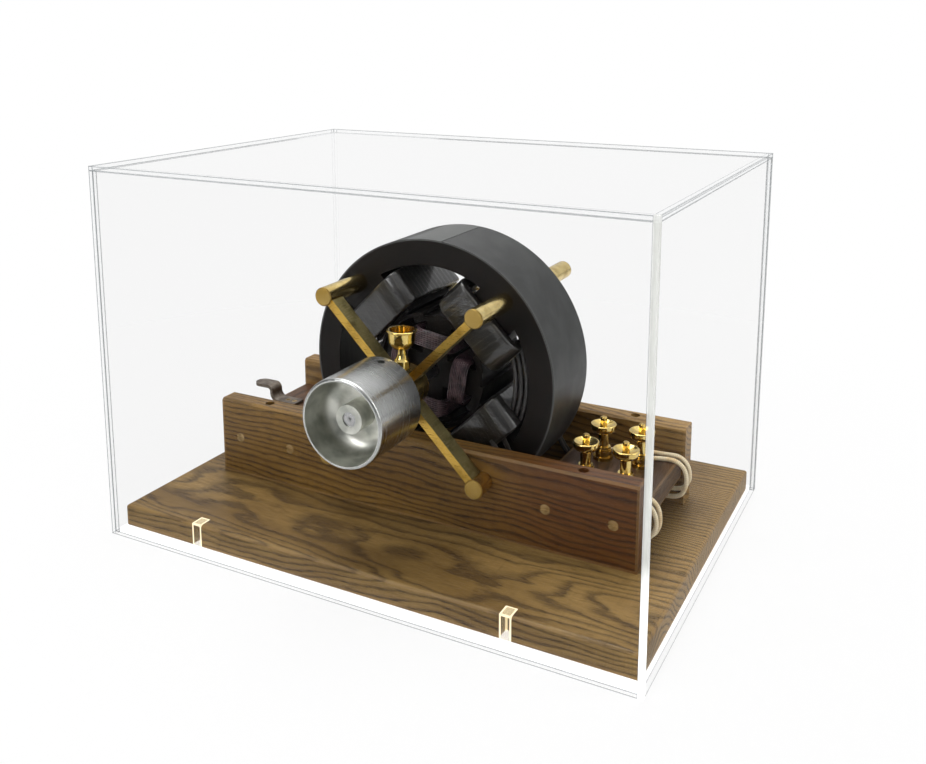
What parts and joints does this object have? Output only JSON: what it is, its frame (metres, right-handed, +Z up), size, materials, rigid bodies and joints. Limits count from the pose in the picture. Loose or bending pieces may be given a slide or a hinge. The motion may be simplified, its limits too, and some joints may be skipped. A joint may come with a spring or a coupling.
{
  "type": "model induction motor in a display cover",
  "caption": "Electric motor model with a pole ring, brass bearing spiders, oil cups, cup pulley and binding posts on an oak base, under a clear lift-off cover.",
  "frame": {"origin": "centre of the cover's footprint, on the table", "axes": "+X along the base towards the binding posts, -Y towards the pulley, +Z up"},
  "size_m": [0.474, 0.344, 0.32],
  "materials": {
    "clear_acrylic": "clear, polished edges",
    "stained_oak": "dark stain under satin varnish",
    "brass": "turned and polished",
    "bronze": "plain bearing bronze",
    "dark_steel": "browned, satin",
    "bright_steel": "ground",
    "laminated_iron": "oiled sheet stack",
    "black_band": "satin tape",
    "taped_winding": "black tape under shellac",
    "enamelled_wire": "enamelled wire",
    "turned_aluminium": "turned and polished",
    "cloth_lead": "braided cotton"
  },
  "bodies": {
    "motor": {"floor_plate": "clear_acrylic", "locating_blocks": "clear_acrylic", "base_board": "stained_oak", "front_cheek": "stained_oak", "rear_cheek": "stained_oak", "left_cross_board": "stained_oak", "terminal_board": "stained_oak", "cheek_screws": "brass", "hold_down_screws": "dark_steel", "cord_hook": "dark_steel", "hook_screws": "brass", "field_ring": "laminated_iron", "ring_band": "black_band", "coil_upper_right": "taped_winding", "coil_upper_left": "taped_winding", "coil_lower_left": "taped_winding", "coil_lower_right": "taped_winding", "coil_jumpers": "taped_winding", "clamp_rods": "bright_steel", "front_pillars": "brass", "rear_pillars": "brass", "front_arms": "brass", "rear_arms": "brass", "front_hub": "brass", "rear_hub": "brass", "front_bush": "bronze", "rear_bush": "bronze", "front_oil_cup": "brass", "rear_oil_cup": "brass", "post_bases": "brass", "post_studs": "brass", "post_lock_nuts": "brass", "lead_1": "cloth_lead", "lead_2": "cloth_lead", "lead_3": "cloth_lead", "lead_4": "cloth_lead"},
    "cover": {"cover_top": "clear_acrylic", "cover_front": "clear_acrylic", "cover_back": "clear_acrylic", "cover_left": "clear_acrylic", "cover_right": "clear_acrylic"},
    "rotor": {"shaft": "bright_steel", "rotor_core": "laminated_iron", "rotor_coils": "enamelled_wire", "thrust_collars": "bright_steel", "pulley": "turned_aluminium", "pulley_set_screw": "dark_steel"},
    "washer_1": {"clamp_washer_1": "brass"},
    "nut_1": {"thumb_nut_1": "brass"},
    "washer_2": {"clamp_washer_2": "brass"},
    "nut_2": {"thumb_nut_2": "brass"},
    "washer_3": {"clamp_washer_3": "brass"},
    "nut_3": {"thumb_nut_3": "brass"},
    "washer_4": {"clamp_washer_4": "brass"},
    "nut_4": {"thumb_nut_4": "brass"}
  },
  "joints": [
    {"name": "cover_lift", "type": "slide", "parent": "motor", "child": "cover", "axis": [0, 0, 1], "range_m": [0, 0.26]},
    {"name": "rotor_spin", "type": "hinge", "parent": "motor", "child": "rotor", "pos_m": [-0.0025, 0.008, 0.14], "axis": [0, 1, 0], "continuous": true},
    {"name": "washer_1_rise", "type": "slide", "parent": "motor", "child": "washer_1", "axis": [0, 0, 1], "range_m": [0, 0.0024]},
    {"name": "nut_1_turn", "type": "hinge", "parent": "washer_1", "child": "nut_1", "pos_m": [0.1352, -0.013, 0.088], "axis": [0, 0, 1], "range_deg": [0, 1080]},
    {"name": "washer_2_rise", "type": "slide", "parent": "motor", "child": "washer_2", "axis": [0, 0, 1], "range_m": [0, 0.0024]},
    {"name": "nut_2_turn", "type": "hinge", "parent": "washer_2", "child": "nut_2", "pos_m": [0.1692, -0.013, 0.088], "axis": [0, 0, 1], "range_deg": [0, 1080]},
    {"name": "washer_3_rise", "type": "slide", "parent": "motor", "child": "washer_3", "axis": [0, 0, 1], "range_m": [0, 0.0024]},
    {"name": "nut_3_turn", "type": "hinge", "parent": "washer_3", "child": "nut_3", "pos_m": [0.1352, 0.029, 0.088], "axis": [0, 0, 1], "range_deg": [0, 1080]},
    {"name": "washer_4_rise", "type": "slide", "parent": "motor", "child": "washer_4", "axis": [0, 0, 1], "range_m": [0, 0.0024]},
    {"name": "nut_4_turn", "type": "hinge", "parent": "washer_4", "child": "nut_4", "pos_m": [0.1692, 0.029, 0.088], "axis": [0, 0, 1], "range_deg": [0, 1080]}
  ],
  "couplings": [
    {"joint": "washer_1_rise", "follows": "nut_1_turn", "m_per_rad": 0.0001273},
    {"joint": "washer_2_rise", "follows": "nut_2_turn", "m_per_rad": 0.0001273},
    {"joint": "washer_3_rise", "follows": "nut_3_turn", "m_per_rad": 0.0001273},
    {"joint": "washer_4_rise", "follows": "nut_4_turn", "m_per_rad": 0.0001273}
  ]
}
